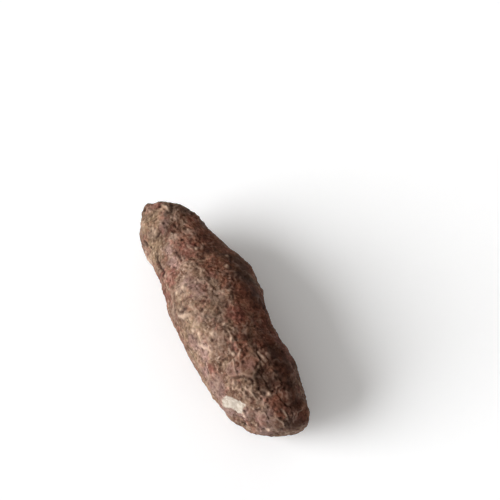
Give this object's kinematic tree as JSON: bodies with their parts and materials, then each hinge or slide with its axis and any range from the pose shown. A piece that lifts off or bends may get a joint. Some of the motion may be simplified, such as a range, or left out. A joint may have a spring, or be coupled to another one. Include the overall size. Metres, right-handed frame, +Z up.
{
  "type": "yam tuber",
  "caption": "Long starchy root tuber with rough brown bark-like skin, blunt head and rounded tail, lying on a small flat spot.",
  "frame": {"origin": "middle of the tuber's box, on the surface that the tuber lies on", "axes": "+X along the tuber from its blunt head to its rounded tail, +Z up, +Y across"},
  "size_m": [0.198, 0.0668, 0.0646],
  "materials": {
    "tuber_skin": "rough, dry, corky skin with dust and soil in its cracks"
  },
  "bodies": {
    "root": {"tuber": "tuber_skin"}
  },
  "joints": []
}
